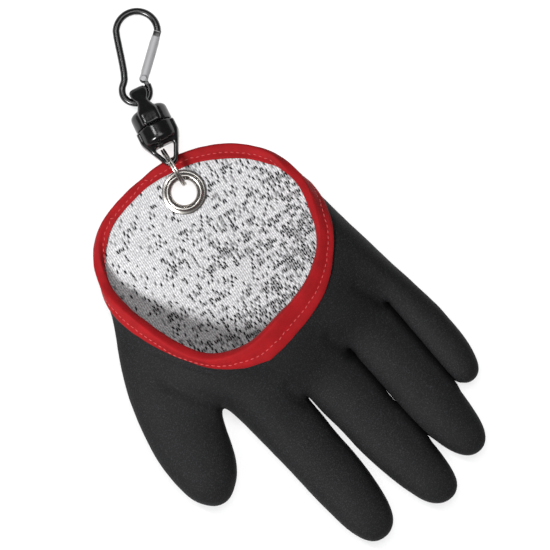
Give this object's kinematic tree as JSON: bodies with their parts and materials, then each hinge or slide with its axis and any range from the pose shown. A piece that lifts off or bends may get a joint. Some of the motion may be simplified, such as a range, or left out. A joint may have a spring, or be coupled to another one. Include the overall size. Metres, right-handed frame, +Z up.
{
  "type": "fishing glove with magnetic release and carabiner",
  "caption": "Latex-dipped knitted fishing glove with a deep open cuff bound in tape, an eyelet in the palm flap, a split ring, a magnetic release and a small carabiner, lying palm down.",
  "frame": {"origin": "on the surface that the glove lies on, under the middle of the whole", "axes": "+Y from the fingertips to the cuff and the carabiner, +X to the little finger, +Z up"},
  "size_m": [0.159, 0.2924, 0.0395],
  "materials": {
    "latex": "black latex with a fine crinkled matt surface",
    "knit": "heather grey single jersey knit",
    "tape": "red woven binding tape with a row of stitches",
    "polished_steel": "polished",
    "black_plastic": "glossy black",
    "magnet": "nickel plated",
    "black_wire": "black anodised, satin",
    "silver_gate": "satin silver"
  },
  "bodies": {
    "glove": {"latex_coat": "latex", "knit_liner": "knit", "cuff_binding": "tape", "eyelet": "polished_steel", "eyelet_washer": "polished_steel", "split_ring": "polished_steel", "release_lower": "black_plastic", "magnet_lower": "magnet"},
    "release_top": {"release_upper": "black_plastic", "magnet_upper": "magnet", "carabiner_frame": "black_wire", "gate_rivet": "silver_gate"},
    "gate": {"carabiner_gate": "silver_gate"}
  },
  "joints": [
    {"name": "magnet_pull", "type": "slide", "parent": "glove", "child": "release_top", "axis": [0.2419, 0.9703, 0], "range_m": [0, 0.02], "stiffness_N_per_m": 200, "springref_m": -0.01},
    {"name": "gate_hinge", "type": "hinge", "parent": "release_top", "child": "gate", "pos_m": [0.03908, 0.11383, 0.00664], "axis": [0.0895, 0.1066, 0.9903], "range_deg": [0, 34], "stiffness_Nm_per_rad": 0.02, "springref_deg": -28.65}
  ]
}
